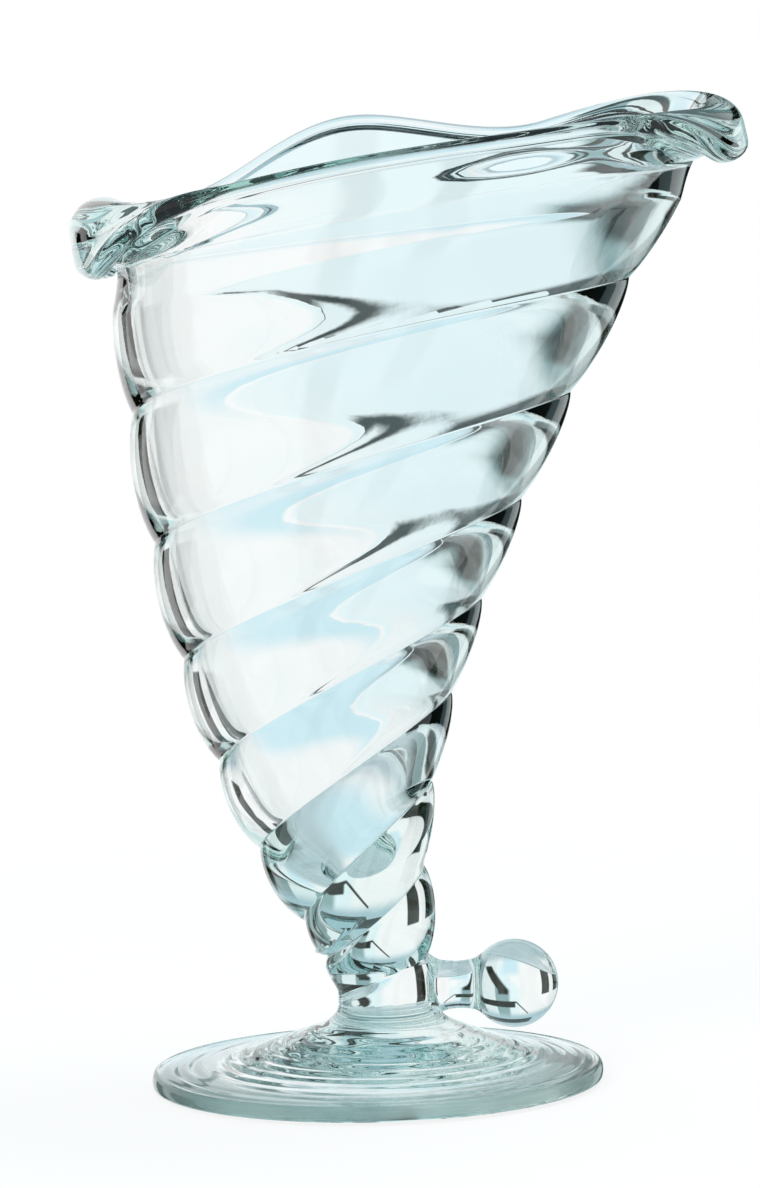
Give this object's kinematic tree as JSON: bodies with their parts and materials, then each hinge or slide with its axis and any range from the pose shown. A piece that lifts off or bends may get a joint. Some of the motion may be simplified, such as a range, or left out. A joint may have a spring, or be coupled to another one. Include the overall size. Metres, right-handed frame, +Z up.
{
  "type": "sundae glass",
  "caption": "Clear glass sundae dish: a leaning, spirally fluted horn with a waved, rolled lip, on a twisted stem and a round foot, with a ball at its tail.",
  "frame": {"origin": "middle of the glass's plan, on the surface that it stands on", "axes": "+Z up, +X the way the horn leans and the ball points, -Y the front"},
  "size_m": [0.1338, 0.1156, 0.196],
  "materials": {
    "aqua_glass": "clear, fire-polished, with a pale aqua tint"
  },
  "bodies": {
    "root": {"foot": "aqua_glass", "stem": "aqua_glass", "bowl": "aqua_glass", "rim": "aqua_glass", "tail": "aqua_glass", "ball": "aqua_glass"}
  },
  "joints": []
}
